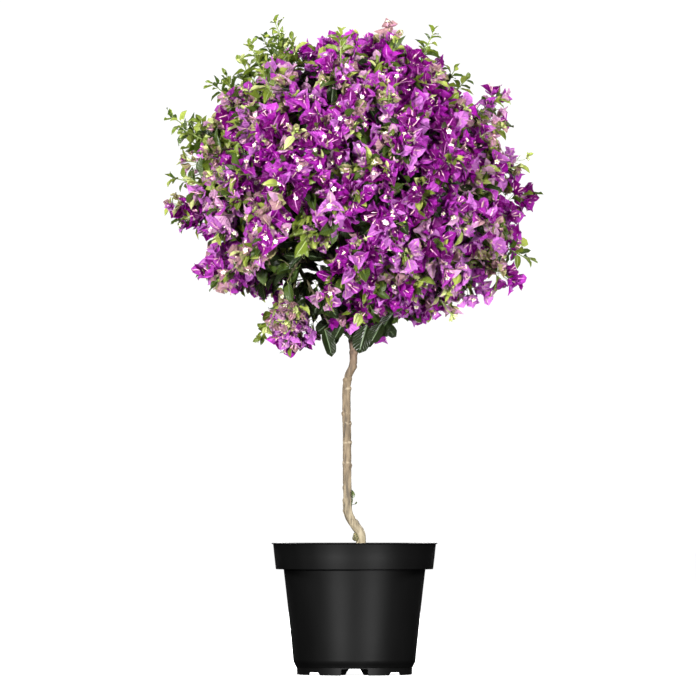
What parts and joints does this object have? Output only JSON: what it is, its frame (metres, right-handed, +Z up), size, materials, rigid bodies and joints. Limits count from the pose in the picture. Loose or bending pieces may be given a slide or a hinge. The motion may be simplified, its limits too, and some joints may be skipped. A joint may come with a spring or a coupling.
{
  "type": "potted bougainvillea standard",
  "caption": "Bougainvillea grown as a standard: a bare, kinked stem under a round head of purple bracts and green leaves, in a black plastic nursery pot.",
  "frame": {"origin": "middle of the pot's foot, on the ground that the pot stands on", "axes": "+Z up along the stem, +X to the right and -Y towards the viewer in the picture's view"},
  "size_m": [0.5447, 0.5137, 0.9499],
  "materials": {
    "pot": "satin black",
    "potting_mix": "rough",
    "bark": "rough",
    "blossom": "papery",
    "foliage": "leaf"
  },
  "bodies": {
    "root": {"pot": "pot", "soil": "potting_mix", "trunk": "bark", "trunk_shoot": "foliage", "foliage_top": "blossom", "bough_upper_right": "bark", "foliage_upper_right": "blossom", "bough_upper_back": "bark", "foliage_upper_back": "blossom", "bough_upper_left": "bark", "foliage_upper_left": "foliage", "bough_upper_front": "bark", "foliage_upper_front": "blossom", "bough_middle_right": "bark", "foliage_middle_right": "blossom", "bough_middle_back_right": "bark", "foliage_middle_back_right": "foliage", "bough_middle_back_left": "bark", "foliage_middle_back_left": "blossom", "bough_middle_left": "bark", "foliage_middle_left": "blossom", "bough_middle_front_left": "bark", "foliage_middle_front_left": "blossom", "bough_middle_front_right": "bark", "foliage_middle_front_right": "blossom", "bough_lower_right": "bark", "foliage_lower_right": "blossom", "bough_lower_back_right": "bark", "foliage_lower_back_right": "blossom", "bough_lower_back_left": "bark", "foliage_lower_back_left": "blossom", "bough_lower_front_left": "bark", "foliage_lower_front_left": "foliage", "bough_lower_front_right": "bark", "foliage_lower_front_right": "blossom"}
  },
  "joints": []
}
